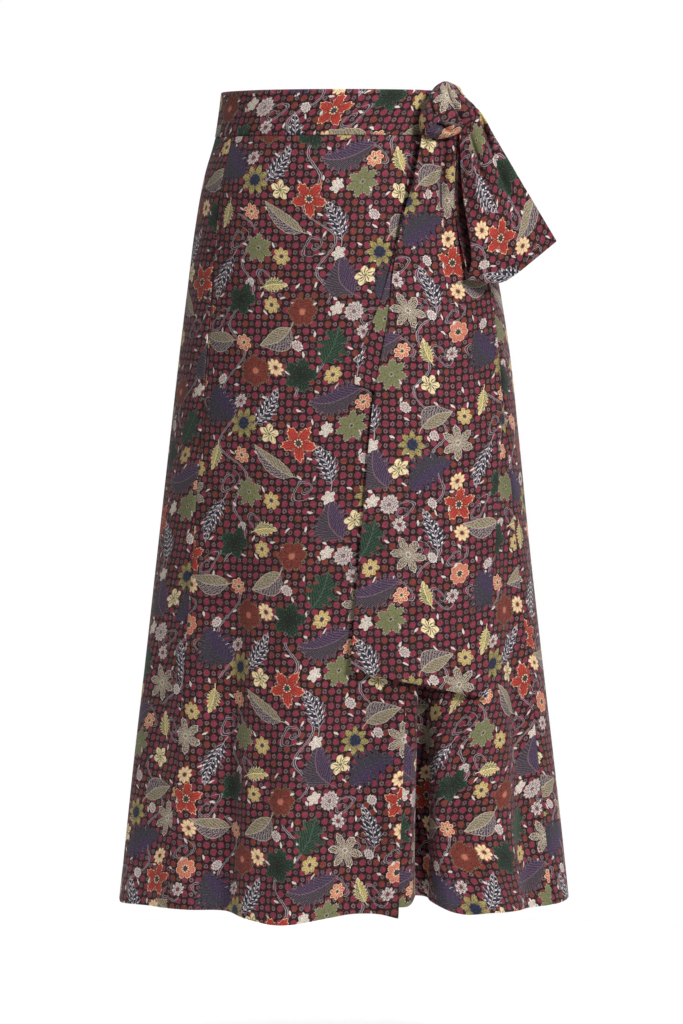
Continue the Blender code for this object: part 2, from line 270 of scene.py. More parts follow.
def add_piece(name, points, quads, cloth_uv, bake_uv, materials, material_index, node):
    """A mesh of quads at the origin, with its cloth and bake maps given corner by corner."""
    mesh = bpy.data.meshes.new(name)
    mesh.vertices.add(len(points))
    mesh.vertices.foreach_set("co", points.ravel())
    mesh.loops.add(quads.size)
    mesh.loops.foreach_set("vertex_index", quads.ravel())
    mesh.polygons.add(len(quads))
    mesh.polygons.foreach_set("loop_start", np.arange(0, quads.size, 4))
    for material in materials:
        mesh.materials.append(material)
    mesh.polygons.foreach_set("material_index", material_index)
    mesh.uv_layers.new(name="cloth").data.foreach_set("uv", cloth_uv.ravel())
    mesh.uv_layers.new(name="OFBake").data.foreach_set("uv", bake_uv.ravel())
    mesh.update(calc_edges=True)
    mesh.shade_smooth()
    obj = bpy.data.objects.new(name, mesh)
    bpy.context.scene.collection.objects.link(obj)
    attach(obj, "root")
    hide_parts(node)
    return obj


def corners(grid):
    """A grid's four corner values for each of its quads, in the order that faces outwards."""
    four = np.stack([grid[:-1, :-1], grid[1:, :-1], grid[1:, 1:], grid[:-1, 1:]], axis=2)
    return four.reshape(-1, *four.shape[2:])


def perimeter(grid):
    """A grid's edge values once round: back along the top, down, along the bottom and up."""
    return np.concatenate([grid[0, ::-1], grid[1:, 0], grid[-1, 1:], grid[-2::-1, -1]])


def outwards(grid):
    """The way out of a grid at each place of its perimeter, from the nearest place inside."""
    inside = np.pad(grid[1:-1, 1:-1], ((1, 1), (1, 1), (0, 0)), mode="edge")
    return perimeter(grid) - perimeter(inside)


def add_cloth(name, outer, thick, materials, node):
    """A thin closed shell inwards from a grid of points, with half-round edges.

    The rim's rings go from the outer to the inner face by half a circle: half * cos + off * sin."""
    rows, columns = outer.shape[:2]
    thick = np.broadcast_to(thick, (rows, columns))
    inner = outer - thick[..., None] * normals(outer)
    number = np.arange(rows * columns).reshape(rows, columns)
    edge_outer, edge_inner = perimeter(outer), perimeter(inner)
    off = unit(outwards(outer))
    half = (edge_outer - edge_inner) / 2
    size = np.linalg.norm(half, axis=1, keepdims=True)
    turns = np.pi * np.arange(1, RIM_STEPS + 1) / (RIM_STEPS + 1)
    rings = [edge_inner + half * (1 + np.cos(turn)) + off * size * np.sin(turn) for turn in turns]
    points = np.concatenate([outer.reshape(-1, 3), inner.reshape(-1, 3), *[ring[:-1] for ring in rings]])
    around = len(edge_outer) - 1
    first = 2 * rows * columns
    ring_numbers = [first + k * around + np.append(np.arange(around), 0) for k in range(RIM_STEPS)]
    rim = np.array([perimeter(number), *ring_numbers, perimeter(number) + rows * columns])
    quads = np.concatenate([corners(number), corners(number + rows * columns)[:, ::-1], corners(rim)])

    cloth = on_print(name, *cloth_places(outer))
    rim_cloth = np.repeat(perimeter(cloth)[None], RIM_STEPS + 2, axis=0)
    cloth_uv = np.concatenate([corners(cloth), corners(cloth)[:, ::-1], corners(rim_cloth)])

    right = 1 - WRONG_SIDE_SHARE - BAKE_MARGIN
    outer_map = flat_map(rows, columns, BAKE_MARGIN, right)
    inner_map = flat_map(rows, columns, right + 2 * BAKE_MARGIN, 1 - BAKE_MARGIN / 2)
    step = np.sign(np.round(outwards(outer_map), 9)) * RIM_BAKE_STEP
    rim_map = perimeter(outer_map) + step * np.arange(RIM_STEPS + 2)[:, None, None]
    bake_uv = np.concatenate([corners(outer_map), corners(inner_map)[:, ::-1], corners(rim_map)])

    faces = (rows - 1) * (columns - 1)
    material_index = np.zeros(len(quads), int)
    material_index[faces : 2 * faces] = 1
    return add_piece(name, points, quads, cloth_uv, bake_uv, materials, material_index, node)


# Where the top of each cloth's middle lies on the print, and how many degrees the cloth is turned
PRINT_PLACES = {
    "right_front": (0.02, 0.61, 0),
    "left_front": (0.14, 0.35, 0),
    "back_panel": (0.55, 0.18, 0),
    "waistband_cloth": (0.31, 0.44, 0),
    "long_end": (0.42, 0.83, 4),
    "short_end": (0.11, 0.27, -6),
    "bow_loop": (0.77, 0.52, 38),
    "knot": (0.30, 0.12, 25),
}


def on_print(name, across, down):
    """Places on a piece's own cloth, turned and moved onto the print."""
    x, y, turn = PRINT_PLACES[name]
    turn = np.radians(turn)
    x = x + across * np.cos(turn) - down * np.sin(turn)
    y = y - across * np.sin(turn) - down * np.cos(turn)
    return np.stack([x, y], axis=-1)


def flat_map(rows, columns, left, right):
    """An even grid of map places between two sides of the bake map."""
    x, y = np.linspace(left, right, columns), np.linspace(1 - BAKE_MARGIN, BAKE_MARGIN, rows)
    return np.stack(np.meshgrid(x, y), axis=-1)


# ---- panels and waistband

SEAM_ROOM = SEAM_GAP / 2 + PANEL_THICK / 2
BAND_PROUD = 0.0005
BAND_SWELL = 0.0005
SEAM_DIP = 0.0007
SEAM_DIP_WIDTH = 0.0022
EDGE_CURL = 0.0012
EDGE_CURL_WIDTH = 0.007
PANEL_STEP = 0.0042
RIGHT_FRONT_COLUMNS = 130
LEFT_FRONT_COLUMNS = 176
BACK_COLUMNS = 230
BAND_ROWS = 14
BAND_COLUMNS = 330


def panel_points(first, last, columns, seams, under=False):
    """A panel's grid: each row runs along a level section between two lines, a seam's room in from each.

    seams says which side edges are sewn and dip into a seam; a free edge curls out. The under front has a
    hem line of its own."""
    rows = round(SKIRT_DROP / PANEL_STEP)
    down = np.linspace(0, 1, rows)[:, None]
    at_hem, at_waist = SECTIONS["left"][0], SECTIONS["left"][-3]
    room = np.degrees(SEAM_ROOM / (at_waist + (at_hem - at_waist) * down))
    line = first + room + (last - first - 2 * room) * np.linspace(0, 1, columns)
    lift = smooth(within_turn(line), HEM["line"], HEM["lift"])
    if under:
        lift = lift + smooth(line, UNDER_HEM["line"], UNDER_HEM["lift"])
    top = BAND_BOTTOM - SEAM_GAP - PANEL_THICK / 2
    height = top - down * (SKIRT_DROP - PANEL_THICK / 2 - HEM_THICK / 2 - lift)
    out = layer_lift(line) + fold_depth(line, down)
    points = on_section(cloth_angle(line, down), height, out)
    across, _ = cloth_places(points)
    relief = np.zeros_like(across)
    for distance, sewn in zip((across - across[:, :1], across[:, -1:] - across), seams):
        if sewn:
            relief -= SEAM_DIP * bell(distance, SEAM_DIP_WIDTH)
        else:
            relief += EDGE_CURL * bell(distance, EDGE_CURL_WIDTH) * down
    return points + relief[..., None] * normals(points)


def hemmed(points):
    """The shell's thickness: the cloth's own, and more within the hem's turned-up depth."""
    _, down = cloth_places(points)
    inside_hem = ease((HEM_DEPTH - (down[-1:] - down)) / (2 * HEM_THICK))
    return PANEL_THICK + (HEM_THICK - PANEL_THICK) * inside_hem


def waistband_points():
    """The band's grid: from its inner end under the front, round the back, to its end under the knot."""
    line = np.linspace(UNDER_EDGE, OVER_EDGE + 360, BAND_COLUMNS)
    edge = BAND_THICK / 2
    height = np.linspace(BAND_TOP - edge, BAND_BOTTOM + edge, BAND_ROWS)[:, None]
    swell = BAND_SWELL * (1 - (height / BAND_TOP) ** 2)
    return on_section(cloth_angle(line, 0), height, layer_lift(line) + BAND_PROUD + swell)


# ---- the sash

# Rows and columns of points
LONG_END_GRID = (230, 60)
SHORT_END_GRID = (120, 56)
LOOP_GRID = (200, 80)
KNOT_GRID = (130, 301)
SASH_EDGE = SASH_THICK / 2
TAIL_ROWS = 1.1  # power that draws a tail's rows up towards the knot
LOOP_EDGE_IN = 0.004  # of the loop's width


def gathers(across, height):
    """Soft pleats across the sash: a cosine that dies away exponentially below the knot."""
    fade = np.exp(-np.clip(SASH_ROOT - height, 0, None) / GATHER_REACH)
    return GATHER_DEPTH * fade * np.cos(2 * np.pi * (GATHER_WAVES * across - GATHER_START))


def tail_points(edges, hem_left, hem_right, rows, columns):
    """A tail's grid: threads from the knot to a slanting hem, laid on the skirt's level sections."""
    across = np.linspace(0, 1, columns)
    down = np.linspace(0, 1, rows)[:, None] ** TAIL_ROWS
    hem = hem_left + (hem_right - hem_left) * across + SASH_EDGE
    height = SASH_ROOT + (hem - SASH_ROOT) * down
    edge = {side: smooth(height, edges["height"], edges[side]) for side in ("left", "right", "off")}
    width = edge["right"] - edge["left"] - 2 * SASH_EDGE
    x = edge["left"] + SASH_EDGE + width * across
    half = smooth(height, SECTIONS["height"], SECTIONS["right"])
    angle = np.degrees(np.arcsin(np.clip(x / half, -1, 1)))
    return on_section(angle, height, edge["off"] + SASH_THICK + gathers(across, height))


def loop_points(rows, columns):
    """The loop's strip: out from the knot on the front layer, round the fold and back on the rear."""
    across = np.linspace(LOOP_EDGE_IN, 1 - LOOP_EDGE_IN, columns)
    turn = np.linspace(0, 2 * np.pi, rows)[:, None]
    reach = (1 - np.cos(turn)) / 2
    column = {name: smooth(across, LOOP["across"], LOOP[name]) for name in LOOP}
    back_layer = (1 - np.sin(turn)) / 2 * np.sin(np.pi * reach)
    x = column["root_x"] + (column["fold_x"] - column["root_x"]) * reach
    x = x - LOOP_BACK_SHIFT * back_layer * (1 - across)
    x = x + LOOP_FRONT_SHIFT * (1 + np.sin(turn)) / 2 * np.sin(np.pi * reach**4) * (1 - across) ** 3
    z = column["root_z"] + (column["fold_z"] - column["root_z"]) * reach
    z = z + LOOP_SHOULDER * across**2 * (1 - reach) * ease(reach / LOOP_SHOULDER_REACH)
    middle = LOOP_ROOT_DEPTH + (column["depth"] - LOOP_ROOT_DEPTH) * reach
    swell = LOOP_THICKNESS / 2 * (LOOP_PINCH + (1 - LOOP_PINCH) * reach)
    y = middle - swell * np.sin(turn)
    return np.stack(np.broadcast_arrays(x, y, z), axis=-1)


# ---- the knot

# Level rings of the knot's body, in mm, on axes along the waistband and out from it
KNOT = table("height along across deep", [
    (-29, -17.5, 13.5, 9.5),
    (-25.5, -15.5, 19.5, 13),
    (-18, -10.5, 26.2, 17.5),
    (-8, -4.5, 31.8, 20.5),
    (4.6, -1.9, 30.2, 20.5),
    (14.2, -3.8, 22.2, 18),
    (20.6, -4.6, 16.8, 15),
    (27, -4.3, 13.2, 11.5),
    (33, -6.5, 5.5, 5.5),
], MM)
KNOT_SQUARENESS = 0.8
KNOT_MIDDLE = 0.0205
KNOT_RADIUS = 0.030
KNOT_PRINT_RADIUS = 0.025
KNOT_LIP_EDGE = 0.0004
KNOT_FOLD_ENDS = 0.7  # of a fold's depth
KNOT_ROUNDING = 12  # power that rounds the knot off at its top and bottom
KNOT_TIP = 1e-4

# The knot's folds, in mm and degrees: the turn and height where each starts and ends, its width, its rise,
# and how far its lip stands up on one side and sinks on the other. Turn 0 faces out.
KNOT_FOLDS = np.array([
    (-64, -17.5, -48, -12.4, 2.6, -3, 2.2), (-48, -12.4, -22, -14.3, 2.6, -5, 3.2),
    (-22, -14.3, 4, -20.5, 2.6, -5, 3), (-72, -20.5, -12, -23.5, 5.4, 3, 0),
    (-98, 15, -64, 0, 2.8, -2.4, 1.8), (-28, 25, -10, 5, 3, -2.4, 1.4),
    (-10, 5, 4, -6.2, 2.5, -4.4, -2), (4, -6.2, 30, -17, 2.6, -4.4, -2),
    (36, 11, 42, -9, 2.6, -3, -1.4), (50, 9, 60, -7, 3.2, 2, 0), (-44, 6, -20, -6, 8, 1.4, 0),
]) / (1, MM, 1, MM, MM, MM, MM)


def knot_axes():
    """The knot's seat on the band, the direction out from the band and the one along it."""
    seat = on_section(KNOT_ANGLE, 0.0, LAYER_STEP + KNOT_SEAT)
    ahead = on_section(KNOT_ANGLE, 0.0, 1.0) - on_section(KNOT_ANGLE, 0.0, 0.0)
    return seat, ahead, np.array([-ahead[1], ahead[0], 0])


def knot_relief(degrees, height):
    """Sum of the knot's folds: a bell of the distance from each, times crease or rise * tanh(side)."""
    relief = np.zeros(np.broadcast(degrees, height).shape)
    for turn0, z0, turn1, z1, width, crease, rise in KNOT_FOLDS:
        run = np.array([np.radians(turn1 - turn0) * KNOT_RADIUS, z1 - z0])
        length = np.hypot(*run)
        x, z = np.radians(degrees - turn0) * KNOT_RADIUS, height - z0
        along = np.clip((x * run[0] + z * run[1]) / length**2, 0, 1)
        away = np.hypot(x - along * run[0], z - along * run[1])
        side = (z * run[0] - x * run[1]) / length
        lip = rise * np.tanh(side / KNOT_LIP_EDGE) * bell(away, 2 * width)
        fade = KNOT_FOLD_ENDS + (1 - KNOT_FOLD_ENDS) * np.sin(np.pi * along)
        relief += (crease * bell(away, width) + lip) * fade
    return relief


def knot_points(rows, columns):
    """Squared-off rings from the top down with the folds' relief, and their places on the print."""
    height = np.linspace(KNOT["height"][-1], KNOT["height"][0], rows)[:, None]
    turn = np.linspace(0, 2 * np.pi, columns)
    row = {name: smooth(height, KNOT["height"], KNOT[name]) for name in ("along", "across", "deep")}
    closing = 1 - np.linspace(-1, 1, rows)[:, None] ** KNOT_ROUNDING
    closing = np.sqrt(np.clip(closing, KNOT_TIP, 1))
    sides, front = np.sin(turn), np.cos(turn)
    sides = np.sign(sides) * np.abs(sides) ** KNOT_SQUARENESS
    front = np.sign(front) * np.abs(front) ** KNOT_SQUARENESS
    seat, ahead, beside = knot_axes()
    degrees = within_turn(np.degrees(turn))
    relief = knot_relief(degrees, height) * closing
    sideways = row["along"] + (row["across"] * closing + relief) * sides
    forwards = KNOT_MIDDLE + (row["deep"] * closing + relief) * front
    points = seat + sideways[..., None] * beside + forwards[..., None] * ahead
    points[..., 2] = height
    across, down = np.broadcast_arrays(KNOT_PRINT_RADIUS * (turn - np.pi), -height)
    return points, on_print("knot", across, down)


def add_knot(name, points, cloth, material):
    """A closed form from a grid whose rows are full turns, its ends closed by quads across the ring."""
    rows, columns = points.shape[:2]
    sides = columns - 1
    number = np.arange(rows * sides).reshape(rows, sides)
    wrapped = np.concatenate([number, number[:, :1]], axis=1)
    bake = flat_map(rows, columns, BAKE_MARGIN, 1 - BAKE_MARGIN)
    first = np.arange(sides // 2 - 1)
    cap = np.stack([first, first + 1, sides - 2 - first, sides - 1 - first], axis=-1)
    quads, cloth_uv, bake_uv = [
        np.concatenate([corners(grid), grid[0][cap], grid[-1][cap[:, ::-1]]])
        for grid in (wrapped, cloth, bake)
    ]
    points = points[:, :-1].reshape(-1, 3)
    index = np.zeros(len(quads), int)
    add_piece(name, points, quads, cloth_uv, bake_uv, [material], index, "sash_knot")


# ---- creases, given one by one

# Each cloth's creases, in mm: from x0, y0 to x1, y1, half the width, and the depth, which is less than 0
# for a trough. x is measured across the cloth from its middle and y down it from its top.
CREASES = {
    "right_front": [
        (-60, 10, -85, 150, 12, 1), (-20, 4, -30, 75, 10, -0.8), (55, 4, 60, 100, 12, -0.9),
        (100, 6, 85, 120, 14, 1), (-110, 120, -120, 330, 18, -1.2), (-40, 200, -60, 420, 20, 1.2),
        (30, 260, 20, 500, 18, -1.1), (-130, 420, -150, 800, 16, 1.6), (-85, 440, -100, 812, 9, -4),
        (-30, 520, -35, 815, 20, 1.4), (-6, 640, -2, 815, 10, -3), (90, 440, 100, 800, 14, 1.2),
        (121, 20, 111, 180, 12, -5),
    ],
    "left_front": [
        (5, 10, 20, 170, 12, 1), (35, 150, 60, 380, 14, -1.2), (60, 300, 75, 560, 16, 1.2),
        (-6, 500, -4, 660, 6, -15), (-5, 600, 5, 815, 7, -25), (24, 540, 33, 800, 8, 4),
        (42, 480, 50, 800, 9, -4), (100, 500, 120, 800, 16, 1.6), (112, 540, 150, 810, 12, -2.2),
        (-60, 350, -80, 700, 20, 1.2), (-25, 20, -52, 180, 13, -5),
    ],
    "back_panel": [
        (-110, 6, -130, 140, 14, 1), (-35, 4, -45, 110, 12, -0.9), (50, 6, 65, 130, 12, -1),
        (120, 10, 145, 180, 14, 1), (-190, 200, -230, 480, 20, 1.3),
        (-80, 220, -100, 520, 20, -1.2), (20, 300, 20, 560, 22, 1.2),
        (130, 240, 170, 500, 20, -1.2), (-260, 470, -300, 790, 18, -1.6),
        (-150, 520, -170, 810, 16, 1.6), (-40, 560, -45, 815, 18, -1.4),
        (85, 520, 100, 810, 18, 1.6), (200, 500, 230, 800, 16, -1.6), (280, 450, 320, 780, 18, 1.4),
    ],
    "waistband_cloth": [
        (-330, 4, -320, 44, 8, 0.6), (-140, 6, -150, 46, 9, -0.5), (60, 6, 50, 44, 10, 0.5),
        (210, 2, 220, 40, 8, -0.5), (400, 46, 470, 20, 8, -0.7), (455, 4, 480, 30, 7, -1),
        (440, 40, 480, 34, 7, 0.7),
    ],
    "bow_loop": [
        (27.5, 18, 20.5, 62, 3, -7), (20.5, 60, 23, 120, 4.5, -3.6), (11, 20, 9, 85, 5, 2.2),
        (0, 18, -3, 80, 3.2, -4.8), (-10, 20, -18, 100, 6, 1.6), (-19, 20, -28, 100, 4, -3.8),
        (38, 40, 50, 140, 8, -1.8), (12, 90, 15, 155, 10, 1.4), (-5, 90, -10, 160, 9, -1.4),
    ],
    "long_end": [
        (-1.6, 10, 0, 90, 2.6, -6.6), (0, 70, 6, 150, 3.6, -3.6), (7, 12, 8, 90, 3.6, 3),
        (-13, 10, -18, 120, 3.4, -4), (-18, 100, -30, 260, 7, 1.4), (0, 120, -4, 330, 8, 1.3),
        (24, 100, 36, 300, 7, 1.2), (12, 140, 18, 360, 7, -1.4), (-30, 300, -40, 520, 12, 1.2),
        (30, 350, 40, 590, 14, -1.2),
    ],
    "short_end": [
        (-8, 30, -20, 180, 5, -1.6), (4, 50, 2, 200, 6, 1), (-25, 150, -40, 270, 8, 1),
    ],
}

# ---- finishes

# The print's colours, as a screen shows them and in linear light
COLOURS = dict(
    black="1f1615", maroon="462128", raspberry="883647", brick="803c34",
    mauve="80666a", lilac="b2a6a8", red="b83d35", rust="6a2c26",
    forest="253c2f", leaf="4d6351", sage="70765a", mustard="b0a05a",
    olive="78784c", cream="ecd8a8", white="e8ddd4", coral="cb6a5d",
    peach="dca882", purple="453652", slate="3e3a44", navy="2a2e44",
    khaki="7b7158", tan="bbad98", umber="4a4036",
)
PALETTE = {
    name: tuple(((int(code[k : k + 2], 16) / 255 + 0.055) / 1.055) ** 2.4 for k in (0, 2, 4))
    for name, code in COLOURS.items()
}

# Sizes on the print, in mm
REPEAT = 260.0  # both ways
DOT_PITCH = REPEAT / 34
BIG_DOT = 3.6
SMALL_DOT = 2.4
DOT_CORE = 0.95
OUTLINE = 0.8
WEAVE = 0.9  # the threads' pitch
VINE_PITCH = 86.7
VINE_MIDDLE = 43.3
VINE_WAVES = ((65, 11), (REPEAT, 9))  # each wave's length and swing
VINE_LINE = 1.0  # from a vine's middle to its two lines
VINE_LINE_HALF = 0.40
VINE_HALF = 1.2
VINE_SEEN = 0.44  # the noise above which a vine shows
CURL_CELL = 43.3
CURL_CELLS = 6  # in a repeat
CURL_SHIFT = 43
CURL_PITCH = 8.5
CURL_RADIUS = 13
CURL_HOLE = 2.5
SLIVER_CELLS = 14  # in a repeat
SLIVER_DRIFT = 8
WARP_LENGTH = 130
WARP_SWING = 5
WOBBLE = 1.2
CHARTED = 4  # large motifs in a repeat, each way
CURL_SEED = 3
SLIVER_SEED = 7


def maths(operation, swapped=False):
    """A method that adds a Math node for an operator, its two sides swapped where it is reflected."""

    def method(value, *others):
        sides = (*others, value) if swapped else (value, *others)
        return value.shader.math(operation, *sides)

    return method


class Value:
    """A number or colour that varies over the cloth. Its arithmetic adds Math nodes to its shader."""

    def __init__(self, shader, socket):
        self.shader = shader
        self.socket = socket

    def math(self, operation, *others):
        return self.shader.math(operation, self, *others)

    __add__ = __radd__ = maths("ADD")
    __sub__, __rsub__ = maths("SUBTRACT"), maths("SUBTRACT", swapped=True)
    __mul__ = __rmul__ = maths("MULTIPLY")
    __truediv__, __rtruediv__ = maths("DIVIDE"), maths("DIVIDE", swapped=True)
    __pow__ = maths("POWER")
    __mod__ = maths("FLOORED_MODULO")
    __gt__ = maths("GREATER_THAN")
    __lt__ = maths("LESS_THAN")
    __abs__ = maths("ABSOLUTE")


class Shader:
    """A material's nodes. One method adds a node of any type; the rest are short ways to call it."""

    def __init__(self, name):
        self.material = bpy.data.materials.new(name)
        self.material.use_nodes = True
        self.tree = self.material.node_tree
        self.surface = self.tree.nodes["Principled BSDF"]
        self.colour = None  # what is painted so far

    def node(self, kind, settings, sockets, output=0):
        """Adds a node: first its settings, such as a ramp's stops, then its sockets' values or links."""
        node = self.tree.nodes.new("ShaderNode" + kind)
        for name, value in settings.items():
            if name == "stops":
                self.set_stops(node.color_ramp, value)
            else:
                setattr(node, name, value)
        for name, value in sockets.items():
            self.feed(node.inputs[name], value)
        return Value(self, node.outputs[output])

    def set_stops(self, ramp, colours):
        """Gives a ramp one flat stop for each colour, evenly spaced."""
        ramp.interpolation = "CONSTANT"
        while len(ramp.elements) < len(colours):
            ramp.elements.new(1)
        for k, colour in enumerate(colours):
            ramp.elements[k].position = k / len(colours)
            ramp.elements[k].color = colour

    def feed(self, socket, value):
        if isinstance(value, Value):
            self.tree.links.new(value.socket, socket)
        else:
            socket.default_value = value

    def math(self, operation, *values):
        return self.node("Math", {"operation": operation}, dict(enumerate(values)))

    def mix(self, base, colour, mask):
        """The colour where the mask is 1, over the base."""
        colours = [c if isinstance(c, Value) else (*PALETTE[c], 1) for c in (base, colour)]
        return self.node("Mix", {"data_type": "RGBA"}, {0: mask, 6: colours[0], 7: colours[1]}, 2)

    def paint(self, colour, mask):
        """Lays a colour over what is painted so far."""
        self.colour = self.mix(self.colour, colour, mask)

    def place(self, x, y, z=0.0):
        return self.node("CombineXYZ", {}, {"X": x, "Y": y, "Z": z})

    def parts(self, colour):
        """A colour's three channels, or a vector's three sizes."""
        separate = self.tree.nodes.new("ShaderNodeSeparateXYZ")
        self.feed(separate.inputs[0], colour)
        return [Value(self, output) for output in separate.outputs]

    def noise(self, place, scale, detail, output=0):
        """Soft noise about as many times a millimetre as the scale, from 0 to 1."""
        sockets = {"Vector": place, "Scale": scale, "Detail": detail}
        return self.node("TexNoise", {"noise_dimensions": "2D"}, sockets, output)

    def chance(self, place, output=0):
        """A random number or colour for each whole-numbered place."""
        return self.node("TexWhiteNoise", {"noise_dimensions": "3D"}, {"Vector": place}, output)

    def chart(self, cell, columns, rows):
        """A table's columns, each as the value of the row that the cell's number picks out.

        Ramps hold them: a colour column fills one, and three number columns share one, scaled 0 to 1."""
        column = dict(zip(columns.split(), zip(*rows)))
        found, numbers = {}, []
        for name, values in column.items():
            if isinstance(values[0], str):
                stops = [(*PALETTE[value], 1) for value in values]
                found[name] = self.node("ValToRGB", {"stops": stops}, {"Fac": cell})
            else:
                numbers.append(name)
        for first in range(0, len(numbers), 3):
            names = numbers[first : first + 3]
            values = np.array([column[name] for name in names], float).T
            low, high = values.min(axis=0), values.max(axis=0)
            span = np.where(high > low, high - low, 1)
            stops = [(*row, 0, 0)[:3] + (1,) for row in (values - low) / span]
            channels = self.parts(self.node("ValToRGB", {"stops": stops}, {"Fac": cell}))
            for k, name in enumerate(names):
                found[name] = channels[k] * span[k] + low[k]
        return SimpleNamespace(**found)


def fract(value):
    return value.math("FRACT")


def wave(value, length):
    """A sine, once round over the length."""
    return (value * (2 * np.pi / length)).math("SINE")


def distance(x, y):
    return (x * x + y * y).math("SQRT")


def direction(x, y):
    """The way to a place, in turns."""
    return y.math("ARCTAN2", x) / (2 * np.pi)


def chart_cell(column, row, columns, rows):
    """A cell's number in a chart of so many columns and rows that repeats, from 0 to 1."""
    return (column % columns + (row % rows) * columns + 0.5) / (columns * rows)


def turned(x, y, turn):
    """A place turned back by an angle in degrees, as x and y from a motif's own axes."""
    angle = turn * (np.pi / 180)
    cos, sin = angle.math("COSINE"), angle.math("SINE")
    return x * cos + y * sin, y * cos - x * sin


def cell_of(x, y, pitch):
    """The whole-numbered column and row of a square cell, and x and y from its middle."""
    column, row = (x / pitch).math("FLOOR"), (y / pitch).math("FLOOR")
    return column, row, x - (column + 0.5) * pitch, y - (row + 0.5) * pitch


def draw_dots(pen, x, y, grain):
    """A chessboard of big and small dots: the distance to the cell's middle is less than the radius."""
    column, row, dx, dy = cell_of(x, y, DOT_PITCH)
    away = distance(dx, dy)
    small = (column + row) % 2
    chance = pen.chance(pen.place(column, row))
    ragged = grain - 0.5
    big = (away < BIG_DOT + ragged) * (1 - small)
    colour = pen.mix("raspberry", "brick", fract(chance * 7) > 0.74)
    pen.paint(colour, big)
    pen.paint("maroon", big * (grain > 0.57) * 0.5)
    little = (away < SMALL_DOT + ragged * 0.6) * small
    pen.paint("mauve", little * (0.4 + chance * 0.5))
    pen.paint("maroon", little * (away < DOT_CORE))


def draw_flowers(pen, x, y, grain, row, rays):
    """Petals round a centre: the edge's radius falls from size to size * waist between petals, by a power.

    Fine rays of the second colour run out from the centre, thinner as they go."""
    x, y = turned(x - row.dx, y - row.dy, row.turn)
    away = distance(x, y)
    angle = direction(x, y)
    petal = angle * row.petals
    between = abs(fract(petal) - 0.5) * 2
    teeth = abs(fract(petal * 5) - 0.5) * row.tooth
    edge = row.size * (1 - (1 - row.waist) * between ** row.power) - teeth
    mask = edge > away
    ray = fract(petal * rays + away / 17)
    pen.paint(row.main, mask)
    pen.paint(row.second, mask * (ray < 0.85 - away / row.size) * 0.85)
    pen.paint(row.second, mask * (grain * row.rough > 0.5))
    pen.paint("black", mask * (between > 0.88) * 0.45)
    pen.paint(row.line, mask * ((edge - away) < OUTLINE) * 0.85)
    core = row.core
    pen.paint(row.centre, away < core)
    stamens = (abs(away - core) < 0.8) * (fract(angle * 9) < 0.5) * (core > 0)
    pen.paint(row.line, stamens * 0.9)


def draw_leaves(pen, x, y, grain, row):
    """A leaf of two halves along y, parted by a bent rib that goes on as a stem.

    Half its width is width * (1 - s * s)^0.9 over its lobes, s being y over half the length, and a little
    more towards its base."""
    x, y = turned(x - row.dx, y - row.dy, row.turn)
    along = y / row.length
    side = x - row.bend * (along * along - 0.3)
    out = abs(side)
    lobe = 1 + (fract((y + out * 0.6) / row.lobe) - 0.5) * row.tooth
    body = (1 - (along * along).math("MINIMUM", 1)) ** 0.9 * (1 - along * 0.35)
    half = body * lobe * row.width
    mask = half > out
    vein = fract((y - out * 1.3) / row.veins)
    pen.paint(pen.mix(row.main, row.second, side > 0), mask)
    pen.paint("black", mask * (abs(vein - 0.45) < 0.10) * 0.45)
    pen.paint(row.line, mask * (vein < 0.22) * 0.55)
    pen.paint(row.line, mask * (grain * row.rough > 0.5) * 0.8)
    up, away = (fract((y - out * 0.6) / 5.0) - 0.5) * 5.0, (fract(out / 4.4) - 0.5) * 4.4
    seed = ((up * up / 0.6 + away * away / 1.9) < 1) * (body * row.width * 0.92 > out)
    pen.paint("white", mask * seed * row.seeds)
    rim = ((half - out) < OUTLINE).math("MAXIMUM", out < 0.5)
    pen.paint(row.line, mask * rim * 0.8)
    stem = (out < 0.6) * (abs(along + 1.15) < 0.17)
    pen.paint(row.line, stem * 0.8)


# Each chart gives its cells' motifs in rows across the repeat: the shift from the cell's middle, the turn,
# a flower's size, and the kind, which fills the chart's other columns.
FLOWER_COLUMNS = "dx dy turn size petals waist power tooth core rough main second line centre"
RED = (5, 0.46, 1.3, 4.5, 3.8, 0.55, "red", "rust", "cream", "slate")
RUST = (6, 0.82, 2.0, 4.5, 3.2, 0.88, "rust", "brick", "olive", "coral")
FOREST = (5, 0.62, 1.4, 4.5, 0.0, 0.72, "forest", "black", "leaf", "slate")
SAGE = (7, 0.60, 1.6, 4.5, 2.0, 0.95, "sage", "olive", "tan", "navy")
ROSETTE = (8, 0.60, 1.4, 2.5, 6.5, 0.80, "mustard", "navy", "khaki", "navy")
LILY = (6, 0.34, 1.6, 2.5, 2.4, 0.94, "umber", "tan", "white", "khaki")
PUFF = (13, 0.80, 1.6, 3.0, 3.0, 0.98, "white", "mauve", "white", "mauve")
CORAL = (7, 0.72, 2.5, 2.0, 3.4, 0.60, "coral", "peach", "cream", "slate")
NO_FLOWER = (0, 0, 0, -1, 5, 0.90, 1.0, 0.0, 0.0, 0.00, "black", "black", "black", "black")

LARGE_FLOWERS = [
    (3, -5, 15, 21, *RED), (-6, 4, 70, 18, *SAGE), NO_FLOWER, (5, 6, 10, 17, *ROSETTE),
    (-7, 2, 40, 20, *FOREST), (4, 7, 200, 20, *LILY), (-2, -8, 20, 12, *CORAL), (8, -3, 5, 18, *RUST),
    (2, 5, 30, 17, *RUST), (-8, -4, 0, 11, *PUFF), (6, 1, 48, 20, *RED), (-4, 8, 110, 19, *FOREST),
    NO_FLOWER, (7, -6, 22, 16, *ROSETTE), (-5, 3, 65, 20, *LILY), (5, -2, 160, 17, *SAGE),
]

